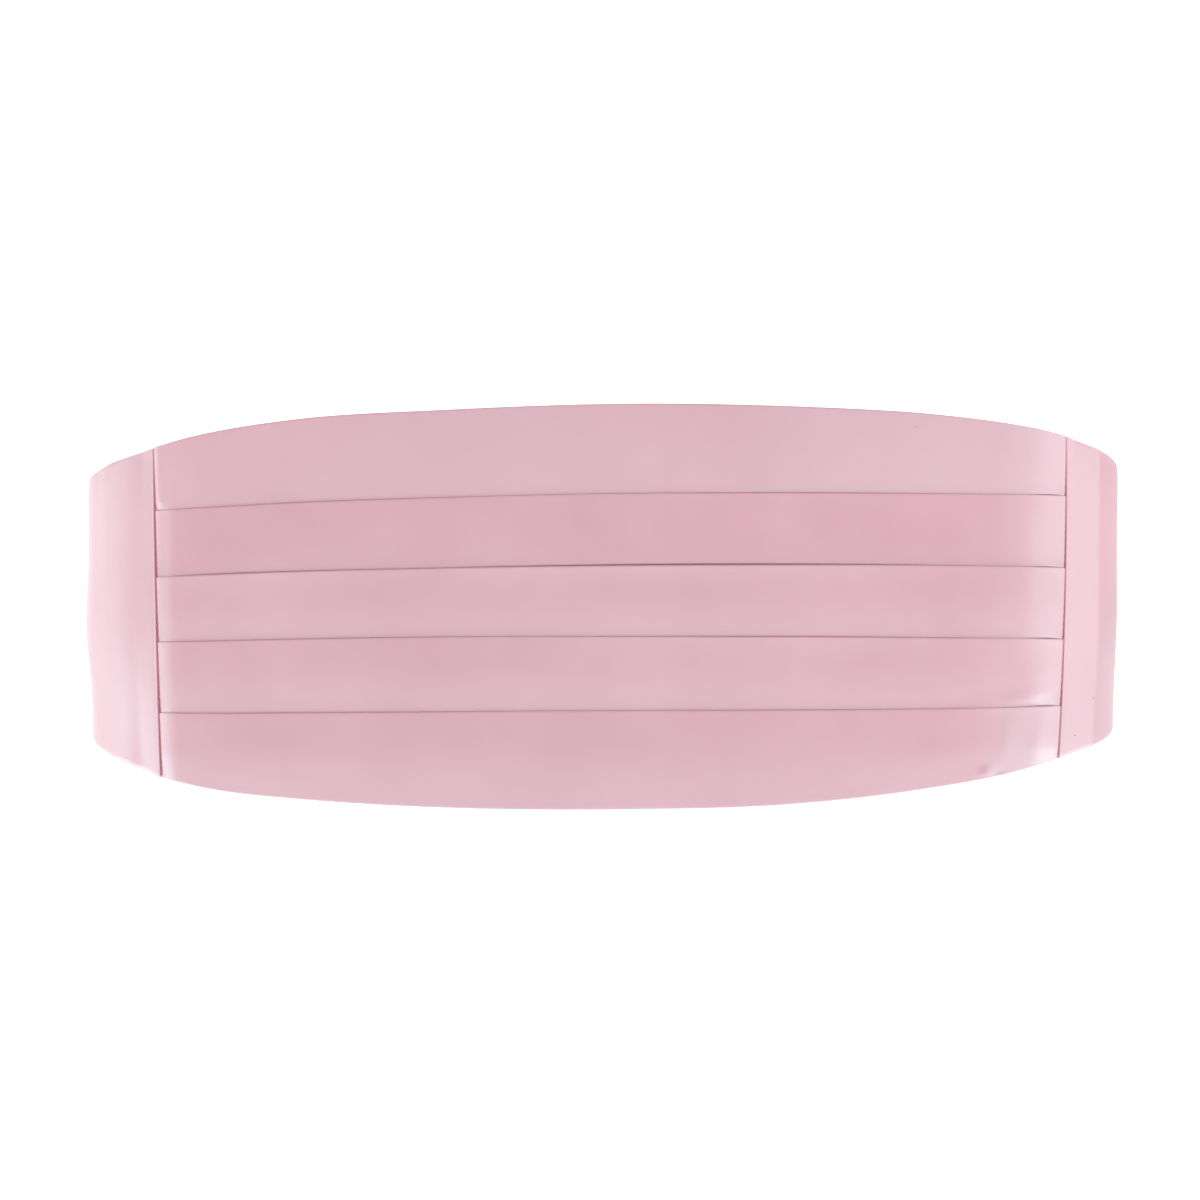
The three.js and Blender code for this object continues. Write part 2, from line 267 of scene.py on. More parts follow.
# Where a fold's mouth gapes: at is its place along the front, spread how far it fades.
GAPES = (
    ("fold", "at", "spread", "gape"),
    ("fold1", 0.42, 0.28, 0.11 * MM),
    ("fold1", 0.95, 0.07, 0.30 * MM),
    ("fold2", 0.15, 0.55, 0.38 * MM),
    ("fold2", -0.80, 0.25, 0.20 * MM),
    ("fold2", 0.95, 0.07, 0.29 * MM),
    ("fold3", 0.35, 0.40, 0.19 * MM),
    ("fold3", -1.00, 0.05, 0.14 * MM),
    ("fold3", 0.95, 0.07, 0.36 * MM),
    ("fold4", -1.00, 0.05, 0.19 * MM),
    ("fold4", 0.95, 0.07, 0.29 * MM),
)
GAPE_BASE = 0.01 * MM
GAPE_DEPTH = 5 * MM
TUCK_OF_GAPE = 0.5
TUCK_REACH = 0.8 * MM

# Painted light: where a tier, named by its top, is made paler in place of the light that falls
# on it there: at is its place along the front. Three tiers also get a little painted light
# towards their foot, from a share of their height on.
PAINTED_LIGHT_PARTS = (
    ("tier", "at", "spread", "pale"),
    ("top", -0.25, 0.50, 0.60),
    ("top", 0.62, 0.35, 1.00),
    ("fold4", 0.87, 0.06, 1.00),
)
PAINTED_LIGHT_FOOT = 0.24
PAINTED_LIGHT_FOOT_START = 0.45
PAINTED_LIGHT_FOOT_FADE = 0.4
PAINTED_LIGHT_FOOT_TIERS = ("fold2", "fold3", "fold4")


def fold_gape(fold, at):
    """How far a fold's mouth stands open, at one place along the front."""
    gape = GAPE_BASE if fold != "top" else 0.0
    for row in rows_of(GAPES):
        if row["fold"] == fold:
            gape += row["gape"] * math.exp(-(((at - row["at"]) / row["spread"]) ** 2))
    return gape


def tier_painted_light(tier, at, share):
    """How much painted light, a paler colour, a tier gets at shares of its height down its face."""
    pale = np.zeros_like(share)
    for row in rows_of(PAINTED_LIGHT_PARTS):
        if row["tier"] == tier["top"]:
            pale += row["pale"] * math.exp(-(((at - row["at"]) / row["spread"]) ** 2))
    if tier["top"] in PAINTED_LIGHT_FOOT_TIERS:
        pale += PAINTED_LIGHT_FOOT * smooth_step((share - PAINTED_LIGHT_FOOT_START) / PAINTED_LIGHT_FOOT_FADE)
    return np.minimum(pale, 1)


def tier_face(tier, height, at, down):
    """How far a tier's outer face stands out, at distances down from its own fold."""
    is_first, is_last = tier["top"] == "top", tier["foot"] == "bottom"
    start = height[tier["top"]] - TURN_RISE
    end = height[tier["foot"]] + (TURN_RISE if is_last else 0)
    backing = TOP_HEM if is_first else PLEAT_REACH
    begin = tier["from"] * min(backing, BACKING_SHARE * (start - end))
    crest = PLY * (FIRST_CREST if is_first else 1)
    past = np.clip((down - begin) / (start - end - begin), 0, 1)
    fallen = tier["lean"] * down / (start - end) + (1 - tier["lean"]) * past**FALL_CURVE
    out = crest - (crest + PLY) * fallen
    out += fold_gape(tier["top"], at) * np.exp(-down / GAPE_DEPTH)
    if not is_last:
        tuck = TUCK_OF_GAPE * fold_gape(tier["foot"], at)
        out -= tuck * np.exp(-(start - end - down) / TUCK_REACH)
    return out


def pleated_section(at):
    """The cloth of the front in section, at one place along it, from the hem inside the top edge
    down to the one inside the bottom edge: distance out, height, painted shade of a fold, and
    painted light. Each tier slips behind the fold of the tier below it, which opens upwards, and
    the plies behind a tier follow it."""
    height = {c: HALF_HEIGHT * float(read_table(FRONT_ROWS, c, at)) for c in FRONT_ROWS[0][1:]}
    last_tier = height["fold4"] - height["bottom"]
    reach = min(PLEAT_REACH, PLEAT_SHARE_OF_LAST * last_tier)
    tiers = rows_of(TIERS)
    points = []

    def add(run, painted_shade, pale=0.0):
        looks = [np.broadcast_to(look, len(run)) for look in (painted_shade, pale)]
        points.append(np.column_stack([run, *looks]))

    for tier, below in zip(tiers, tiers[1:] + [None]):
        start = height[tier["top"]] - TURN_RISE
        end = height[tier["foot"]] + (0 if below else TURN_RISE)
        down = (start - end) * (1 - np.cos(np.linspace(0, math.pi, FACE_POINTS))) / 2
        face = np.stack([tier_face(tier, height, at, down), start - down], axis=1)
        pale = tier_painted_light(tier, at, down / (start - end))
        if tier["top"] == "top":
            hem_down = np.linspace(TOP_HEM, 0, HEM_POINTS)
            hem_out = tier_face(tier, height, at, hem_down) - PLY
            hem = np.stack([hem_out, start - hem_down], axis=1)
            add(hem, 0)
            add(half_turn(hem[-1], face[0], True, TURN_POINTS), 0, pale[0])
        if below is None:
            hem_foot = np.array([-2 * PLY, end])
            hem_end = np.array([-2 * PLY, end + BOTTOM_HEM])
            add(face, 0, pale)
            add(half_turn(face[-1], hem_foot, False, TURN_POINTS), 0)
            add(np.linspace(hem_foot, hem_end, 3), 0)
            continue
        # Painted shade on the face's foot, darker towards the fold below it.
        add(face, tier["shade"] * np.exp(-(start - end - down) / FOLD_SHADE_REACH), pale)
        hidden = np.linspace(TURN_RISE, reach, PLY_POINTS)
        ply_out = tier_face(below, height, at, hidden - TURN_RISE) - PLY
        tail = np.stack([ply_out - PLY, end - hidden], axis=1)
        return_ply = np.stack([ply_out, end - hidden], axis=1)[::-1]
        next_crest = np.array([ply_out[0] + PLY, end - TURN_RISE])
        # The hidden plies inside the fold get full painted shade.
        add(tail, 1)
        add(half_turn(tail[-1], return_ply[0], False, INNER_TURN_POINTS), 1)
        add(return_ply, 1)
        # Painted shade fading out across the turn up to the next crest.
        painted_shade_out_of_fold = np.linspace(0.9, 0.1, TURN_POINTS)
        add(half_turn(return_ply[-1], next_crest, True, TURN_POINTS), painted_shade_out_of_fold)
    return np.concatenate(points)


def seam_arc(side, drop):
    """How far a seam stands from the front's middle, by height from its top (0) to its foot."""
    return HALF_LENGTH - (SEAM_LEAN_LEFT if side < 0 else SEAM_LEAN_RIGHT) * drop**2


# Soft dents and gathers of the front: place round the waist and height of the middle, half
# length and half width, direction from the waist line in degrees, and how far they stand out.
GATHERS = (
    ("arc", "height", "length", "width", "angle", "rise"),
    (139 * MM, -30 * MM, 11 * MM, 1.3 * MM, 14, 0.20 * MM),
    (128 * MM, -31 * MM, 14 * MM, 1.8 * MM, 9, 0.12 * MM),
    (146 * MM, -22 * MM, 14 * MM, 5.0 * MM, 40, 0.22 * MM),
    (128 * MM, -45 * MM, 9 * MM, 3.0 * MM, 80, 0.16 * MM),
    (142 * MM, -42 * MM, 9 * MM, 3.5 * MM, 62, 0.16 * MM),
    (120.3 * MM, -54 * MM, 2.6 * MM, 1.5 * MM, 20, 0.44 * MM),
    (126.2 * MM, -53.6 * MM, 2.2 * MM, 1.2 * MM, 15, -0.46 * MM),
    (102 * MM, -50 * MM, 8 * MM, 4.0 * MM, 20, 0.10 * MM),
)

# Slow waves of the cloth: how many run along the whole front, where they start, how much they
# drift with the height, and how far they stand out.
WAVES = (
    ("count", "phase", "drift", "rise"),
    (3, 0.4, 9, 0.20 * MM),
    (7, 2.1, -21, 0.10 * MM),
    (13, 4.4, 34, 0.05 * MM),
    (23, 1.3, -60, 0.025 * MM),
)


def cloth_relief(arc, height):
    """How far the front stands out of its plain form."""
    relief = np.zeros_like(arc)
    for wave in rows_of(WAVES):
        turn = 2 * math.pi * wave["count"] * arc / FRONT_LENGTH
        relief += wave["rise"] * np.sin(turn + wave["phase"] + wave["drift"] * height)
    for gather in rows_of(GATHERS):
        slant = math.radians(gather["angle"])
        dx, dz = arc - gather["arc"], height - gather["height"]
        along = (dx * math.cos(slant) + dz * math.sin(slant)) / gather["length"]
        across = (dz * math.cos(slant) - dx * math.sin(slant)) / gather["width"]
        relief += gather["rise"] * np.exp(-(along**2) - across**2)
    return relief


# Towards a seam the plies are pressed together and sink into the ditch. The last few stations
# are a tongue that lies under the wing's lip.
SEAM_STATIONS = tuple(
    d * MM
    for d in (9, 7, 5.5, 4.3, 3.4, 2.7, 2.1, 1.6, 1.2, 0.9, 0.6, 0.3, 0.0, -0.4, -0.9, -1.5, -2.2)
)
RELIEF_FADE = 6 * MM
SEAM_PRESS = 0.28
SEAM_PRESS_REACH = 1.6 * MM
SEAM_SLOPE_LEFT = 0.82 * MM
SEAM_SLOPE_RIGHT = 0.60 * MM
SEAM_SLOPE_REACH_LEFT = (2.5 * MM, 7.5 * MM)
SEAM_SLOPE_REACH_RIGHT = 9 * MM
SEAM_SLOPE_KNEE = 0.5 * MM
FIRST_TIER_SHARE = 0.16
FIRST_TIER_FADE = 0.05
SEAM_DITCH = 0.05 * MM
SEAM_DITCH_REACH = 0.35 * MM
TONGUE_FLAT = 0.8 * MM
TONGUE_SINK = 0.35
# Painted shade along a seam: how dark, and how fast it fades away from the seam.
SEAM_SHADE = 0.35
SEAM_SHADE_REACH = 0.4 * MM


def seam_slope(at, to_seam, drop):
    """How far the front has sunk towards the wing. On the left its seam allowance shows as a
    slope with a knee, which is narrow in the first tier. On the right the slope is soft."""
    if at > 0:
        return SEAM_SLOPE_RIGHT * math.exp(-((to_seam / SEAM_SLOPE_REACH_RIGHT) ** 2))
    in_first, in_others = SEAM_SLOPE_REACH_LEFT
    below_first = smooth_step((drop - FIRST_TIER_SHARE) / FIRST_TIER_FADE)
    reach = in_first + (in_others - in_first) * below_first
    knee = SEAM_SLOPE_KNEE * np.log1p(np.exp((reach - to_seam) / SEAM_SLOPE_KNEE))
    return SEAM_SLOPE_LEFT * knee / reach


def make_front():
    near = 1 - np.array(SEAM_STATIONS) / HALF_LENGTH
    middle_stations = np.linspace(-near[0], near[0], FRONT_STATIONS)
    rings, cloth, painted_shades, painted_lights = [], [], [], []
    for at in np.concatenate([-near[:0:-1], middle_stations, near[1:]]):
        section = pleated_section(at)
        middle, painted_shade, pale = section[:, :2], section[:, 2], section[:, 3]
        to_seam = max((1 - abs(at)) * HALF_LENGTH, 0)
        past_seam = max((abs(at) - 1) * HALF_LENGTH - TONGUE_FLAT, 0)
        pressed = 1 - (1 - SEAM_PRESS) * math.exp(-to_seam / SEAM_PRESS_REACH)
        top, bottom = edge_heights(at)
        sides = band_sides(middle, CLOTH)
        drop = np.clip((top - sides[:, 1]) / (top - bottom), 0, 1)
        arc = at * seam_arc(at, drop)
        ditch = seam_slope(at, to_seam, drop)
        ditch = ditch + SEAM_DITCH * math.exp(-((to_seam / SEAM_DITCH_REACH) ** 2))
        ditch += TONGUE_SINK * past_seam
        fade = smooth_step(to_seam / RELIEF_FADE)
        out = pressed * sides[:, 0] + fade * cloth_relief(arc, sides[:, 1]) - ditch
        rings.append(waist_points(arc, out, sides[:, 1]))
        cloth.append(np.stack([arc, sides[:, 1], np.zeros_like(arc)], axis=-1))
        # Painted shade in the seam's ditch.
        painted_shade = np.maximum(painted_shade, SEAM_SHADE * math.exp(-to_seam / SEAM_SHADE_REACH))
        painted_shades.append(np.concatenate([painted_shade, painted_shade[::-1]]))
        painted_lights.append(np.concatenate([pale, pale[::-1]]))
    piece = loft("front_cloth", np.array(rings), np.array(cloth), np.array(painted_shades))
    store(piece, "painted_light_amount", "FLOAT", "value", np.array(painted_lights))
    return piece


# Wings

WING_STATIONS = 150
WING_ROWS = 64

# Upright ripples of the wings: place along the wing, width, how far they stand out, and how
# much they shift along the wing from the top edge to the bottom edge.
WING_RIPPLES = (
    ("side", "arc", "width", "rise", "shift"),
    (-1, 8 * MM, 7 * MM, -0.12 * MM, 4 * MM),
    (-1, 22 * MM, 8 * MM, 0.40 * MM, -3 * MM),
    (-1, 38 * MM, 8 * MM, -0.30 * MM, 3 * MM),
    (-1, 62 * MM, 14 * MM, 0.60 * MM, 8 * MM),
    (-1, 96 * MM, 16 * MM, -0.50 * MM, -10 * MM),
    (1, 12 * MM, 10 * MM, -0.25 * MM, 3 * MM),
    (1, 46 * MM, 12 * MM, 0.35 * MM, -4 * MM),
    (1, 78 * MM, 15 * MM, -0.50 * MM, 8 * MM),
    (1, 112 * MM, 14 * MM, 0.45 * MM, -8 * MM),
)

# Upright crease of the right wing. The low part of the wing is painted darker past it, as painted
# shade, between two distances from the crease, two shares of the height, and back to nothing
# along the wing.
WING_CREASE_ARC = 18.5 * MM
WING_CREASE_SLANT = 1 * MM
WING_CREASE_RISE = 0.8 * MM
WING_CREASE_WIDTH = 8 * MM
WING_CREASE_FADE = 10 * MM
WING_CREASE_SHADE = 0.55
WING_CREASE_SHADE_EDGE = (1 * MM, 3 * MM)
WING_CREASE_SHADE_ROWS = (0.35, 0.65)
WING_CREASE_SHADE_END = (45 * MM, 80 * MM)

WING_LOW_TUCK_LEFT = 1.7 * MM
WING_LOW_TUCK_RIGHT = 1.4 * MM
WING_LOW_TUCK_FADE = 12 * MM
WING_LIP_STATIONS = tuple(
    d * MM for d in (0, 0.04, 0.1, 0.18, 0.28, 0.4, 0.6, 0.9, 1.3, 1.8, 2.4, 3.2, 4.2, 5.4)
)
WING_SEAM_GAP = 0.12 * MM
WING_LIP_ROLL = 0.20 * MM
WING_LIP_SINK_LEFT = 1.02 * MM
WING_LIP_SINK_RIGHT = 0.90 * MM
WING_LIP_SINK_REACH = 15 * MM
WING_LIP_RIDGE = 0.12 * MM
WING_LIP_RIDGE_WIDTH = 0.3 * MM
WING_END_ROLL = 1.0 * MM
WING_EDGE_ROUNDING = 0.9 * WING_THICKNESS
WING_LEAST_THICKNESS = 0.2
WING_TOP_ROLL = 0.35 * MM
WING_TOP_ROLL_REACH = 4 * MM


def wing_thickness_at(side, from_seam):
    """How far the wing's front and back stand from its middle, at a distance from its seam.
    Towards the seam it is pressed thin, and its edge there is a fine ridge."""
    lip_sink = WING_LIP_SINK_LEFT if side < 0 else WING_LIP_SINK_RIGHT
    sunk = lip_sink * math.exp(-((from_seam / WING_LIP_SINK_REACH) ** 2))
    ridge = math.exp(-(((from_seam - WING_LIP_RIDGE_WIDTH) / WING_LIP_RIDGE_WIDTH) ** 2))
    front = WING_THICKNESS / 2 - sunk + WING_LIP_RIDGE * ridge
    back = -WING_THICKNESS / 2
    roll = min(from_seam / WING_LIP_ROLL, (WING_LENGTH - from_seam) / WING_END_ROLL, 1)
    share = max(math.sqrt(max(1 - (1 - roll) ** 2, 0)), WING_LEAST_THICKNESS)
    middle, half = (front + back) / 2, (front - back) / 2
    return middle + half * share, middle - half * share


def make_wing(side):
    name = "left" if side < 0 else "right"
    seam_top, seam_bottom = edge_heights(side)
    half_end = WING_END_HEIGHT / 2
    rings, cloth, painted_shades, shades = [], [], [], []
    lip_shares = np.array(WING_LIP_STATIONS) / WING_LENGTH
    for share in np.concatenate([lip_shares[:-1], np.linspace(lip_shares[-1], 1, WING_STATIONS)]):
        taper_top, taper_bottom = (
            float(read_table(WING_TAPER, f"{name}_{edge}", share)) for edge in ("top", "bottom")
        )
        top = half_end + (seam_top - half_end) * taper_top
        bottom = -half_end + (seam_bottom + half_end) * taper_bottom
        rows = (1 - np.cos(np.linspace(0, math.pi, WING_ROWS + 1))) / 2
        height = top + (bottom - top) * rows
        edge = np.minimum(top - height, height - bottom)
        rounding = np.sqrt(np.clip(1 - (1 - edge / WING_EDGE_ROUNDING) ** 2, 0, 1))
        rounding = np.where(edge > WING_EDGE_ROUNDING, 1, rounding)
        from_seam = share * WING_LENGTH
        front, back = wing_thickness_at(side, from_seam)
        slack = read_table(WING_SLACK_ROWS, name, rows) * math.sin(math.pi * share) ** 2
        middle = WING_SLACK * slack
        off_seam = smooth_step(from_seam / RELIEF_FADE)
        for ripple in rows_of(WING_RIPPLES):
            if ripple["side"] == side:
                off = from_seam - ripple["arc"] - ripple["shift"] * (rows - 0.5)
                bump = ripple["rise"] * np.exp(-((off / ripple["width"]) ** 2))
                middle = middle + off_seam * bump
        low = smooth_step((rows - 0.5) / 0.5) * smooth_step(from_seam / WING_LOW_TUCK_FADE)
        low_tuck = WING_LOW_TUCK_LEFT if side < 0 else WING_LOW_TUCK_RIGHT
        middle = middle - low_tuck * low * (1 - smooth_step(share))
        top_roll = WING_TOP_ROLL * np.exp((height - top) / WING_TOP_ROLL_REACH)
        middle = middle - top_roll * off_seam
        if side > 0:
            past_crease = from_seam - WING_CREASE_ARC - WING_CREASE_SLANT * (0.5 - rows)
            fade = smooth_step(from_seam / WING_CREASE_FADE)
            ridge = np.exp(-np.abs(past_crease) / WING_CREASE_WIDTH)
            middle = middle + fade * WING_CREASE_RISE * ridge
            # Painted shade on the low part of the wing past the crease.
            shade = WING_CREASE_SHADE * step_between(past_crease, WING_CREASE_SHADE_EDGE)
            shade *= step_between(rows, WING_CREASE_SHADE_ROWS)
            shade *= 1 - step_between(from_seam, WING_CREASE_SHADE_END)
            shades.append(np.concatenate([shade, 0 * shade]))
        centre, half = middle + (front + back) / 2, rounding * (front - back) / 2
        out = np.concatenate([centre + half, (centre - half)[::-1]])
        ring_rows = np.concatenate([rows, rows[::-1]])
        start = seam_arc(side, ring_rows) + WING_SEAM_GAP
        arc = side * (start + (WING_END_ARC - start) * share)
        ring_height = np.concatenate([height, height[::-1]])
        rings.append(waist_points(arc, out, ring_height))
        layer = np.repeat([0.0, 1.0], WING_ROWS + 1)
        cloth.append(np.stack([arc, ring_height, layer], axis=-1))
        # Painted shade on the wing's lip by the seam.
        painted_shade = SEAM_SHADE * math.exp(-from_seam / SEAM_SHADE_REACH)
        painted_shades.append(np.full(len(arc), painted_shade))
    piece = loft(f"wing_{name}_cloth", np.array(rings), np.array(cloth), np.array(painted_shades))
    if shades:
        store(piece, "crease_shade", "FLOAT", "value", np.array(shades))
    return piece


# Strap and clasp

STRAP_CLEARANCE = 0.3 * MM
STRAP_OUT = -(WING_THICKNESS / 2 + FIT + STRAP_THICKNESS / 2) - STRAP_CLEARANCE
STRAP_ROWS = 17
STRAP_EDGE = 0.07
STRAP_LEAST_EDGE = 0.05
STRAP_FORTH_POINTS = 199
STRAP_BEND_POINTS = 25
STRAP_BACK_POINTS = 60
STRAP_END_PRESS = 0.6
STRAP_TUCK = 18 * MM
STRAP_RETURN = 24 * MM
STRAP_PINCH = 16 * MM
STRAP_STEP = 0.3 * MM
RIB_PITCH = 1.2 * MM
RIB_RISE = 0.11 * MM
CLASP_LENGTH = 36 * MM
CLASP_THICKNESS = 3 * MM
CLASP_BAR = 4 * MM
CLASP_SLOT = 4 * MM
CLASP_RAIL = 3 * MM
CLASP_CORNER = 4 * MM
CLASP_SLOT_CORNER = 0.8 * MM
CLASP_BEVEL = 0.6 * MM
CLASP_FIT = 0.5 * MM
CLASP_BAR_ARC = HALF_GIRTH - CLASP_LENGTH / 2 + CLASP_BAR / 2
CLASP_OUT = STRAP_OUT - STRAP_THICKNESS / 2 - CLASP_FIT - CLASP_THICKNESS / 2


def strap_path():
    """Middle line of a strap, as distances round the waist and out of the waist line, with
    points a fine step apart."""
    start = WING_END_ARC - STRAP_TUCK
    turn_centre = CLASP_BAR_ARC + CLASP_BAR / 2 - CLASP_THICKNESS / 4
    radius = STRAP_OUT - CLASP_OUT
    angles = np.linspace(0, math.pi, STRAP_BEND_POINTS)
    back = np.linspace(0, STRAP_RETURN, STRAP_BACK_POINTS)[1:]
    closed = smooth_step((back - CLASP_BAR) / (STRAP_PINCH - CLASP_BAR))
    far, near = STRAP_OUT - 2 * radius, STRAP_OUT - STRAP_THICKNESS - FIT
    forth = np.linspace(start, turn_centre, STRAP_FORTH_POINTS + 1)[:-1]
    bend_out = CLASP_OUT + radius * np.cos(angles)
    back_out = far + (near - far) * closed
    arc = np.concatenate([forth, turn_centre + radius * np.sin(angles), turn_centre - back])
    out = np.concatenate([np.full(STRAP_FORTH_POINTS, STRAP_OUT), bend_out, back_out])
    line = np.stack([arc, out], axis=1)
    length = np.concatenate([[0], np.cumsum(np.linalg.norm(np.diff(line, axis=0), axis=1))])
    even = np.linspace(0, length[-1], int(length[-1] / STRAP_STEP))
    return np.stack([np.interp(even, length, line[:, k]) for k in range(2)], axis=1), even


def make_strap(side):
    name = "left" if side < 0 else "right"
    line, length = strap_path()
    plan = waist_points(side * line[:, 0], line[:, 1], 0.0)[:, :2]
    along = np.gradient(plan, axis=0)
    along /= np.linalg.norm(along, axis=1, keepdims=True)
    across = np.stack([-along[:, 1], along[:, 0]], axis=1)
    rows = np.linspace(-1, 1, STRAP_ROWS)
    in_edge = np.clip((np.abs(rows) - 1 + STRAP_EDGE) / STRAP_EDGE, 0, 1)
    edge = np.sqrt(np.clip(1 - in_edge**2, STRAP_LEAST_EDGE, 1))
    height = np.concatenate([rows, rows[::-1]]) * STRAP_WIDTH / 2
    sign = np.concatenate([edge, -edge[::-1]])
    ribs = STRAP_THICKNESS / 2 - RIB_RISE * (1 - np.abs(np.sin(math.pi * length / RIB_PITCH)))
    ribs[[0, -1]] *= STRAP_END_PRESS
    offset = ribs[:, None] * sign[None, :]
    xy = plan[:, None, :] + across[:, None, :] * offset[..., None]
    z = np.broadcast_to(height, offset.shape)[..., None]
    rings = np.concatenate([xy, z], axis=-1)
    cloth = np.stack(
        [np.broadcast_to(length[:, None], offset.shape), z[..., 0], np.zeros_like(offset)], axis=-1
    )
    return loft(f"strap_{name}_webbing", rings, cloth, np.zeros_like(offset))


def rounded_outline(half_length, half_rise, corner, steps):
    points = []
    for quarter, (sx, sz) in enumerate(((1, 1), (-1, 1), (-1, -1), (1, -1))):
        for step in range(steps + 1):
            angle = math.pi / 2 * (quarter + step / steps)
            points.append(
                (
                    sx * (half_length - corner) + corner * math.cos(angle),
                    sz * (half_rise - corner) + corner * math.sin(angle),
                )
            )
    return points


def make_clasp():
    """The plate, cut from a curve outline with two slots, with rounded edges."""
    slot_rise = STRAP_WIDTH / 2 + CLASP_FIT
    slot_x = CLASP_LENGTH / 2 - CLASP_BAR - CLASP_SLOT / 2
    outlines = [(0, rounded_outline(CLASP_LENGTH / 2, slot_rise + CLASP_RAIL, CLASP_CORNER, 8))]
    for x in (-slot_x, slot_x):
        outlines.append((x, rounded_outline(CLASP_SLOT / 2, slot_rise, CLASP_SLOT_CORNER, 4)))
    curve = bpy.data.curves.new("clasp_outline", "CURVE")
    curve.dimensions = "2D"
    curve.fill_mode = "BOTH"
    curve.extrude = CLASP_THICKNESS / 2 - CLASP_BEVEL
    curve.bevel_depth = CLASP_BEVEL
    curve.bevel_resolution = 3
    curve.offset = -CLASP_BEVEL
    for x, outline in outlines:
        spline = curve.splines.new("POLY")
        spline.points.add(len(outline) - 1)
        for point, (px, pz) in zip(spline.points, outline):
            point.co = (x + px, pz, 0, 1)
        spline.use_cyclic_u = True
    holder = bpy.data.objects.new("clasp_outline", curve)
    bpy.context.collection.objects.link(holder)
    graph = bpy.context.evaluated_depsgraph_get()
    mesh = bpy.data.meshes.new_from_object(holder.evaluated_get(graph))
    bpy.data.objects.remove(holder)
    centre_y = waist_points(CLASP_BAR_ARC, CLASP_OUT, 0.0)[1]
    mesh.transform(Matrix.Translation((0, centre_y, 0)) @ Matrix.Rotation(math.pi / 2, 4, "X"))
    mesh.name = "clasp_plate"
    piece = bpy.data.objects.new("clasp_plate", mesh)
    bpy.context.collection.objects.link(piece)
    merge = piece.modifiers.new("merge", "WELD")
    merge.merge_threshold = 0.01 * MM
    return piece


# Stitches

STITCH_PITCH = 2.45 * MM
STITCH_SHARE = 0.74
THREAD_RADIUS = 0.13 * MM
THREAD_BOW = 0.9
THREAD_SINK = 0.3
THREAD_END = 0.55
STITCH_RINGS = 6
STITCH_SIDES = 7


def stitch_shape(start, end, lift):
    """One stitch: a thread that rises out of the cloth and goes back into it."""
    start, end, lift = Vector(start), Vector(end), Vector(lift).normalized()
    along = (end - start).normalized()
    aside = along.cross(lift).normalized()
    points = [tuple(start - lift * THREAD_RADIUS)]
    for ring in range(STITCH_RINGS):
        share = (ring + 0.5) / STITCH_RINGS
        bow = math.sin(math.pi * share)
        centre = start.lerp(end, share) + lift * THREAD_RADIUS * (THREAD_BOW * bow - THREAD_SINK)
        radius = THREAD_RADIUS * (THREAD_END + (1 - THREAD_END) * bow)
        for k in range(STITCH_SIDES):
            angle = 2 * math.pi * k / STITCH_SIDES
            spoke = lift * math.sin(angle) + aside * math.cos(angle)
            points.append(tuple(centre + radius * spoke))
    points.append(tuple(end - lift * THREAD_RADIUS))
    faces = []
    for k in range(STITCH_SIDES):
        after = (k + 1) % STITCH_SIDES
        faces.append((0, 1 + after, 1 + k))
        for ring in range(STITCH_RINGS - 1):
            low = 1 + ring * STITCH_SIDES
            faces.append((low + k, low + after, low + STITCH_SIDES + after, low + STITCH_SIDES + k))
        last = 1 + (STITCH_RINGS - 1) * STITCH_SIDES
        faces.append((last + k, last + after, len(points) - 1))
    return points, faces


def stitch_rows(name, lines):
    """One object with stitches along each line. A line is a list of (point, lift) pairs."""
    points, faces = [], []
    for line in lines:
        places = np.array([point for point, _ in line])
        lifts = np.array([lift for _, lift in line])
        length = np.concatenate([[0], np.cumsum(np.linalg.norm(np.diff(places, axis=0), axis=1))])
        count = max(1, round(length[-1] / STITCH_PITCH))
        pitch = length[-1] / count
        for k in range(count):
            low = (k + (1 - STITCH_SHARE) / 2) * pitch
            ends = [
                [np.interp(d, length, places[:, axis]) for axis in range(3)]
                for d in (low, low + STITCH_SHARE * pitch)
            ]
            lift = [np.interp((k + 0.5) * pitch, length, lifts[:, axis]) for axis in range(3)]
            shape_points, shape_faces = stitch_shape(*ends, lift)
            faces += [tuple(len(points) + i for i in face) for face in shape_faces]
            points += shape_points
    piece = mesh_object(name, np.array(points), faces)
    face_out(piece)
    return piece


SEAM_STITCH_IN = 0.08 * MM
SEAM_STITCH_OUT = -0.60 * MM
SEAM_STITCH_MARGIN = 0.008
SEAM_LINE_POINTS = 60
BOX_LINE_POINTS = 12
BOX_MARGIN = 3 * MM
BOX_STITCH_OUT = 0.02 * MM


def seam_stitch_line(side):
    top, bottom = edge_heights(side)
    drops = np.linspace(SEAM_STITCH_MARGIN, 1 - SEAM_STITCH_MARGIN, SEAM_LINE_POINTS)
    arcs = side * (seam_arc(side, drops) - SEAM_STITCH_IN)
    heights = top + (bottom - top) * drops
    places = waist_points(arcs, SEAM_STITCH_OUT, heights)
    lifts = waist_points(arcs, 1 + SEAM_STITCH_OUT, heights) - places
    return list(zip(places, lifts))


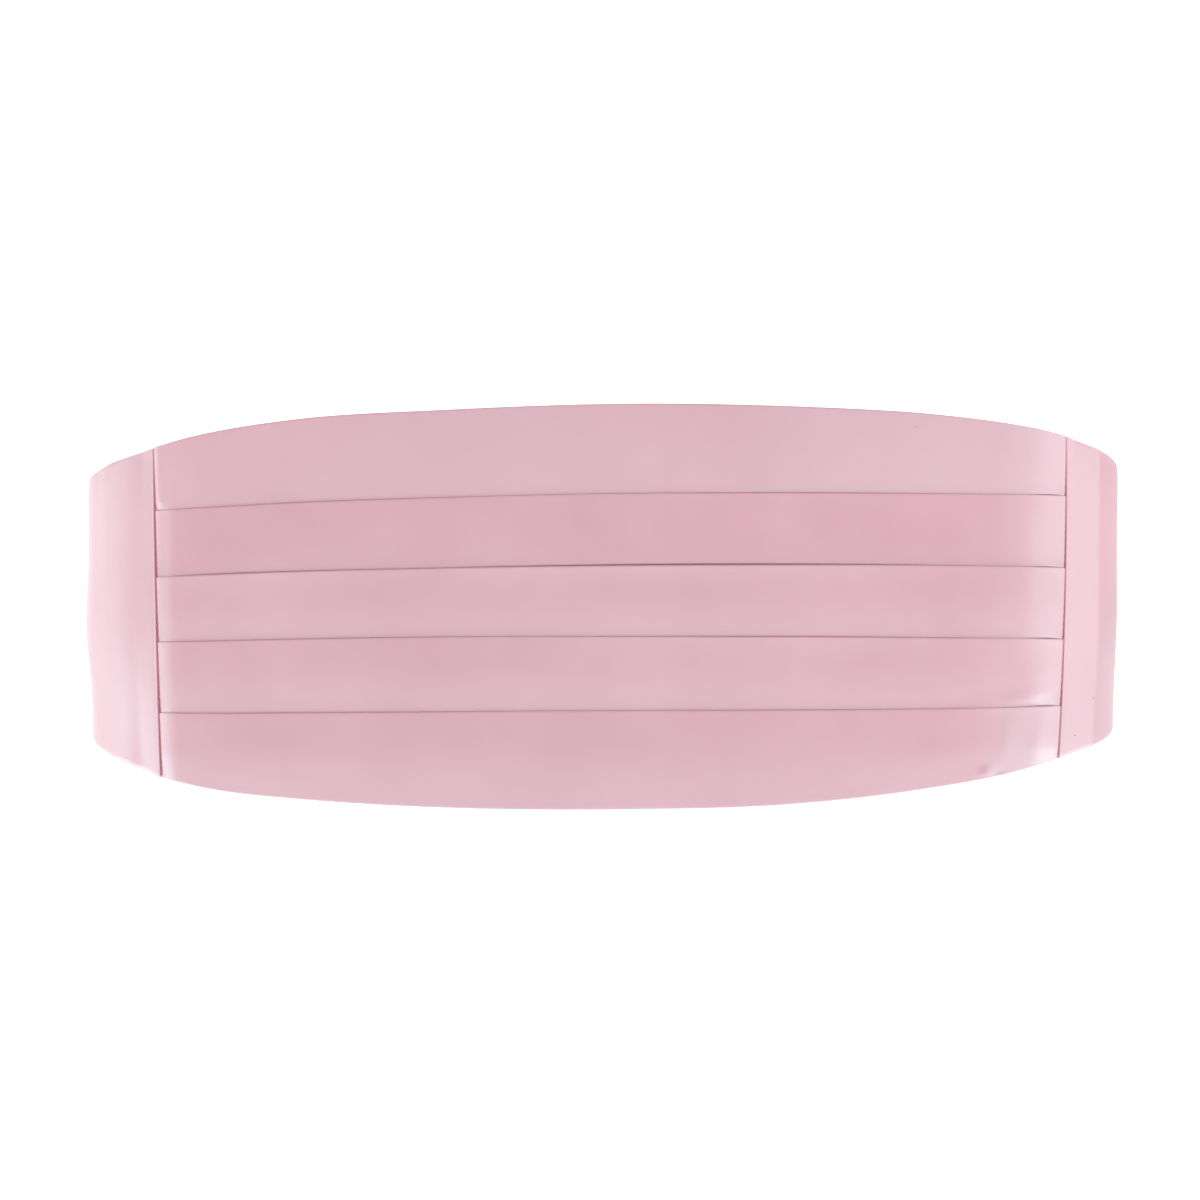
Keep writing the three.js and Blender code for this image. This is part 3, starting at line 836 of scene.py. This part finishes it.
def wing_end_lines(side):
    """The stitched box with its two diagonals that holds the strap under the wing's end."""
    low, high = WING_END_ARC - STRAP_TUCK + BOX_MARGIN, WING_END_ARC - BOX_MARGIN
    rise = STRAP_WIDTH / 2 - BOX_MARGIN
    corners = [(low, -rise), (high, -rise), (high, rise), (low, rise)]
    runs = [(corners[k], corners[(k + 1) % 4]) for k in range(4)]
    runs += [(corners[0], corners[2]), (corners[1], corners[3])]
    out = WING_THICKNESS / 2 + BOX_STITCH_OUT
    lines = []
    for (arc_a, height_a), (arc_b, height_b) in runs:
        arcs = side * np.linspace(arc_a, arc_b, BOX_LINE_POINTS)
        heights = np.linspace(height_a, height_b, BOX_LINE_POINTS)
        places = waist_points(arcs, out, heights)
        lines.append(list(zip(places, waist_points(arcs, 1 + out, heights) - places)))
    return lines


# Materials


def linear(red, green, blue):
    """A colour given as it looks on screen, from 0 to 255, as the shader wants it."""
    shares = [level / 255 for level in (red, green, blue)]
    return (*(s / 12.92 if s <= 0.04045 else ((s + 0.055) / 1.055) ** 2.4 for s in shares), 1)


def new_material(name):
    material = bpy.data.materials.new(name)
    material.use_nodes = True
    nodes, links = material.node_tree.nodes, material.node_tree.links
    return material, nodes, links, nodes["Principled BSDF"]


def colour_mix(nodes, links, factor, low, high):
    """Two colours, the first of which may be a socket, mixed by a factor socket."""
    mix = nodes.new("ShaderNodeMix")
    mix.data_type = "RGBA"
    if isinstance(low, bpy.types.NodeSocket):
        links.new(low, mix.inputs["A"])
    else:
        mix.inputs["A"].default_value = low
    mix.inputs["B"].default_value = high
    links.new(factor, mix.inputs["Factor"])
    return mix.outputs["Result"]


def map_range(nodes, links, value, low, high, to_low, to_high):
    node = nodes.new("ShaderNodeMapRange")
    for name, number in (
        ("From Min", low), ("From Max", high), ("To Min", to_low), ("To Max", to_high),
    ):
        node.inputs[name].default_value = number
    links.new(value, node.inputs["Value"])
    return node.outputs["Result"]


def cloth_noise(nodes, links, scale, detail):
    """Noise on the flat cloth, stretched by a scale along and across it."""
    place = nodes.new("ShaderNodeAttribute")
    place.attribute_name = "cloth_place"
    mapping = nodes.new("ShaderNodeMapping")
    mapping.inputs["Scale"].default_value = scale
    links.new(place.outputs["Vector"], mapping.inputs["Vector"])
    noise = nodes.new("ShaderNodeTexNoise")
    noise.inputs["Scale"].default_value = 1
    noise.inputs["Detail"].default_value = detail
    links.new(mapping.outputs["Vector"], noise.inputs["Vector"])
    return noise.outputs["Fac"]


# Small dark marks on the cloth: place round the waist, height, half length, half width, and how
# dark they are, from 0 to 1.
MARKS = (
    ("arc", "height", "length", "width", "strength"),
    (173.2 * MM, -31.2 * MM, 0.9 * MM, 0.35 * MM, 0.9),
    (162.0 * MM, -43.0 * MM, 0.9 * MM, 0.35 * MM, 0.9),
    (95.4 * MM, 55.5 * MM, 0.7 * MM, 0.30 * MM, 0.3),
)
MARK_SOFTNESS = 0.5


def mark_factor(nodes, links, mark):
    """The strength of a mark on it, and nothing off it."""
    place = nodes.new("ShaderNodeAttribute")
    place.attribute_name = "cloth_place"
    shift = nodes.new("ShaderNodeVectorMath")
    shift.operation = "SUBTRACT"
    shift.inputs[1].default_value = (mark["arc"], mark["height"], 0)
    links.new(place.outputs["Vector"], shift.inputs[0])
    shrink = nodes.new("ShaderNodeVectorMath")
    shrink.operation = "MULTIPLY"
    shrink.inputs[1].default_value = (1 / mark["length"], 1 / mark["width"], 1000)
    links.new(shift.outputs["Vector"], shrink.inputs[0])
    size = nodes.new("ShaderNodeVectorMath")
    size.operation = "LENGTH"
    links.new(shrink.outputs["Vector"], size.inputs[0])
    return map_range(nodes, links, size.outputs["Value"], 1, 1 - MARK_SOFTNESS, 0, mark["strength"])


def satin_material():
    material, nodes, links, shader = new_material("pink_satin")
    broad = cloth_noise(nodes, links, (22, 30, 40), 2)
    streak = cloth_noise(nodes, links, (160, 2600, 40), 1)
    warp = cloth_noise(nodes, links, (5200, 400, 40), 1)
    low, high = linear(237, 147, 165), linear(243, 156, 173)
    colour = colour_mix(nodes, links, map_range(nodes, links, broad, 0.35, 0.65, 0, 1), low, high)
    # Painted light: a paler pink where the tiers catch more light.
    pale = nodes.new("ShaderNodeAttribute")
    pale.attribute_name = "painted_light_amount"
    colour = colour_mix(nodes, links, pale.outputs["Fac"], colour, linear(241, 168, 183))
    # Painted shade: the low part of the right wing past its crease is darker.
    shade = nodes.new("ShaderNodeAttribute")
    shade.attribute_name = "crease_shade"
    colour = colour_mix(nodes, links, shade.outputs["Fac"], colour, linear(204, 118, 136))
    # Painted shade: a deeper rose in the folds, on the hidden plies and along the seams.
    painted_shade = nodes.new("ShaderNodeAttribute")
    painted_shade.attribute_name = "painted_fold_shade"
    colour = colour_mix(nodes, links, painted_shade.outputs["Fac"], colour, linear(228, 122, 146))
    for mark in rows_of(MARKS):
        factor = mark_factor(nodes, links, mark)
        colour = colour_mix(nodes, links, factor, colour, linear(112, 62, 72))
    links.new(colour, shader.inputs["Base Color"])
    links.new(map_range(nodes, links, streak, 0.3, 0.7, 0.285, 0.31), shader.inputs["Roughness"])
    shader.inputs["IOR"].default_value = 3.2
    shader.inputs["Specular Tint"].default_value = (0.56, 0.98, 1.0, 1)
    shader.inputs["Sheen Weight"].default_value = 0.5
    shader.inputs["Sheen Roughness"].default_value = 0.4
    shader.inputs["Sheen Tint"].default_value = (1, 0.95, 0.97, 1)
    threads = nodes.new("ShaderNodeMath")
    threads.operation = "ADD"
    links.new(streak, threads.inputs[0])
    links.new(warp, threads.inputs[1])
    bump = nodes.new("ShaderNodeBump")
    bump.inputs["Strength"].default_value = 0.16
    bump.inputs["Distance"].default_value = 0.05 * MM
    links.new(threads.outputs["Value"], bump.inputs["Height"])
    links.new(bump.outputs["Normal"], shader.inputs["Normal"])
    return material


def thread_material():
    material, nodes, links, shader = new_material("pink_thread")
    twist = nodes.new("ShaderNodeTexNoise")
    twist.inputs["Scale"].default_value = 6000
    place = nodes.new("ShaderNodeTexCoord")
    links.new(place.outputs["Object"], twist.inputs["Vector"])
    low, high = linear(206, 140, 157), linear(220, 156, 172)
    colour = colour_mix(nodes, links, twist.outputs["Fac"], low, high)
    links.new(colour, shader.inputs["Base Color"])
    shader.inputs["Roughness"].default_value = 0.5
    shader.inputs["Sheen Weight"].default_value = 0.2
    return material


def webbing_material():
    material, nodes, links, shader = new_material("pink_webbing")
    yarn = cloth_noise(nodes, links, (900, 3200, 40), 2)
    broad = cloth_noise(nodes, links, (60, 60, 40), 2)
    low, high = linear(201, 153, 165), linear(208, 161, 172)
    colour = colour_mix(nodes, links, map_range(nodes, links, broad, 0.3, 0.7, 0, 1), low, high)
    links.new(colour, shader.inputs["Base Color"])
    links.new(map_range(nodes, links, yarn, 0.3, 0.7, 0.6, 0.75), shader.inputs["Roughness"])
    shader.inputs["Sheen Weight"].default_value = 0.3
    bump = nodes.new("ShaderNodeBump")
    bump.inputs["Strength"].default_value = 0.5
    bump.inputs["Distance"].default_value = 0.1 * MM
    links.new(yarn, bump.inputs["Height"])
    links.new(bump.outputs["Normal"], shader.inputs["Normal"])
    return material


def clasp_material():
    material, nodes, links, shader = new_material("pink_plastic")
    grain = nodes.new("ShaderNodeTexNoise")
    grain.inputs["Scale"].default_value = 900
    place = nodes.new("ShaderNodeTexCoord")
    links.new(place.outputs["Object"], grain.inputs["Vector"])
    low, high = linear(196, 142, 156), linear(206, 153, 166)
    colour = colour_mix(nodes, links, grain.outputs["Fac"], low, high)
    links.new(colour, shader.inputs["Base Color"])
    roughness = map_range(nodes, links, grain.outputs["Fac"], 0.3, 0.7, 0.28, 0.4)
    links.new(roughness, shader.inputs["Roughness"])
    bump = nodes.new("ShaderNodeBump")
    bump.inputs["Strength"].default_value = 0.15
    bump.inputs["Distance"].default_value = 0.05 * MM
    links.new(grain.outputs["Fac"], bump.inputs["Height"])
    links.new(bump.outputs["Normal"], shader.inputs["Normal"])
    return material


# Floor, light and camera

FLOOR_BELOW = 400 * MM
FLOOR_HALF = 12.0


def make_floor():
    corners = ((-1, -1), (1, -1), (1, 1), (-1, 1))
    points = np.array([(x * FLOOR_HALF, y * FLOOR_HALF, -FLOOR_BELOW) for x, y in corners])
    floor = mesh_object("floor", points, [(0, 1, 2, 3)])
    material, _, _, shader = new_material("pale_floor")
    shader.inputs["Base Color"].default_value = (0.92, 0.92, 0.92, 1)
    shader.inputs["Roughness"].default_value = 0.9
    shader.inputs["Specular IOR Level"].default_value = 0.1
    shader.inputs["Emission Color"].default_value = (1, 1, 1, 1)
    shader.inputs["Emission Strength"].default_value = 0.32
    floor.data.materials.append(material)


LIGHTS = (
    ("name", "place", "target", "size", "power", "colour"),
    ("key", (-0.3, -1.6, 2.2), (0, 0, 0), (1.4, 1.0), 9, (1, 1, 1)),
    ("low_left", (-1.2, 0.5, -0.32), (-0.15, 0, 0), (0.9, 0.3), 1.75, (1, 1, 1)),
    ("low_right", (1.25, 0.2, -0.35), (0.15, 0, 0), (0.9, 0.3), 1.45, (1, 1, 1)),
)


def add_area_light(name, place, target, size, power, colour):
    light = bpy.data.lights.new(name, "AREA")
    light.shape = "RECTANGLE"
    light.size, light.size_y = size
    light.energy = power
    light.color = colour
    lamp = bpy.data.objects.new(name, light)
    lamp.visible_camera = False
    lamp.location = place
    lamp.rotation_euler = (Vector(target) - Vector(place)).to_track_quat("-Z", "Y").to_euler()
    bpy.context.collection.objects.link(lamp)


# The white room is darker in a few directions: azimuth from the front towards +X, elevation, and
# the angles from there at which the dimming is full and at which it ends, in degrees.
ROOM_STRENGTH = 1.58
DIM_ZONES = (
    ("azimuth", "elevation", "inner", "outer", "dimming"),
    (-15, 15, 68, 90, 0.72),
    (62, -2, 9, 20, 0.40),
    (143, -10, 20, 28, 0.66),
    (-140, 24, 14, 30, 0.35),
    (100, 22, 8, 22, 0.35),
)


def make_light():
    world = bpy.data.worlds.new("studio")
    world.use_nodes = True
    nodes, links = world.node_tree.nodes, world.node_tree.links
    direction = nodes.new("ShaderNodeTexCoord").outputs["Generated"]
    strength = None
    for zone in rows_of(DIM_ZONES):
        azimuth, elevation = math.radians(zone["azimuth"]), math.radians(zone["elevation"])
        dot = nodes.new("ShaderNodeVectorMath")
        dot.operation = "DOT_PRODUCT"
        dot.inputs[1].default_value = (
            math.sin(azimuth) * math.cos(elevation),
            -math.cos(azimuth) * math.cos(elevation),
            math.sin(elevation),
        )
        links.new(direction, dot.inputs[0])
        outer, inner = (math.cos(math.radians(zone[k])) for k in ("outer", "inner"))
        kept = map_range(nodes, links, dot.outputs["Value"], outer, inner, 1, 1 - zone["dimming"])
        kept.node.interpolation_type = "SMOOTHSTEP"
        if strength is None:
            strength = kept
            continue
        both = nodes.new("ShaderNodeMath")
        both.operation = "MULTIPLY"
        links.new(strength, both.inputs[0])
        links.new(kept, both.inputs[1])
        strength = both.outputs["Value"]
    full = nodes.new("ShaderNodeMath")
    full.operation = "MULTIPLY"
    full.inputs[1].default_value = ROOM_STRENGTH
    links.new(strength, full.inputs[0])
    links.new(full.outputs["Value"], nodes["Background"].inputs["Strength"])
    nodes["Background"].inputs["Color"].default_value = (1, 1, 1, 1)
    bpy.context.scene.world = world
    for light in rows_of(LIGHTS):
        add_area_light(**light)


# The photograph's frame is 1200 pixels square. The object's middle is a little right of the
# frame's middle and a little under it, and the camera is rolled a little.
PHOTO_SIZE = 1200
MIDDLE_PIXEL = (605.7, 606.7)
CAMERA_AZIMUTH = -2.6
CAMERA_ROLL = 0.5
CAMERA_DISTANCE = 1.22
FRONT_PLANE_MM_PER_PIXEL = 0.308
SENSOR_WIDTH = 36.0


def make_camera():
    data = bpy.data.cameras.new("camera")
    focal_pixels = (CAMERA_DISTANCE - WAIST_HALF_DEPTH) / (FRONT_PLANE_MM_PER_PIXEL * MM)
    data.sensor_width = SENSOR_WIDTH
    data.lens = SENSOR_WIDTH * focal_pixels / PHOTO_SIZE
    data.shift_x = (PHOTO_SIZE / 2 - MIDDLE_PIXEL[0]) / PHOTO_SIZE
    data.shift_y = (MIDDLE_PIXEL[1] - PHOTO_SIZE / 2) / PHOTO_SIZE
    camera = bpy.data.objects.new("camera", data)
    azimuth = math.radians(CAMERA_AZIMUTH)
    camera.location = (
        CAMERA_DISTANCE * math.sin(azimuth), -CAMERA_DISTANCE * math.cos(azimuth), 0,
    )
    level = Matrix.Rotation(azimuth, 4, "Z") @ Matrix.Rotation(math.pi / 2, 4, "X")
    roll = Matrix.Rotation(-math.radians(CAMERA_ROLL), 4, "Z")
    camera.rotation_euler = (level @ roll).to_euler()
    bpy.context.collection.objects.link(camera)
    bpy.context.scene.camera = camera


def finish_piece(piece, material, slot_name, *nodes):
    piece.data.materials.clear()
    piece.data.materials.append(material)
    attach(piece, "root")
    if nodes:
        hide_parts(*nodes)


make_camera()
make_light()
make_floor()
bpy.context.scene.view_settings.view_transform = "Standard"

satin = satin_material()
thread = thread_material()
webbing = webbing_material()
plastic = clasp_material()

front = make_front()
finish_piece(front, satin, "satin", "pleated_front")
for side, name in ((-1, "left"), (1, "right")):
    wing = make_wing(side)
    finish_piece(wing, satin, "satin", f"wing_{name}")
    strap = make_strap(side)
    finish_piece(strap, webbing, "strap", f"strap_{name}")
    seam = stitch_rows(f"seam_stitches_{name}", [seam_stitch_line(side)])
    finish_piece(seam, thread, "satin")
    box = stitch_rows(f"strap_stitches_{name}", wing_end_lines(side))
    finish_piece(box, thread, "strap")
clasp = make_clasp()
finish_piece(clasp, plastic, "clasp", "clasp")
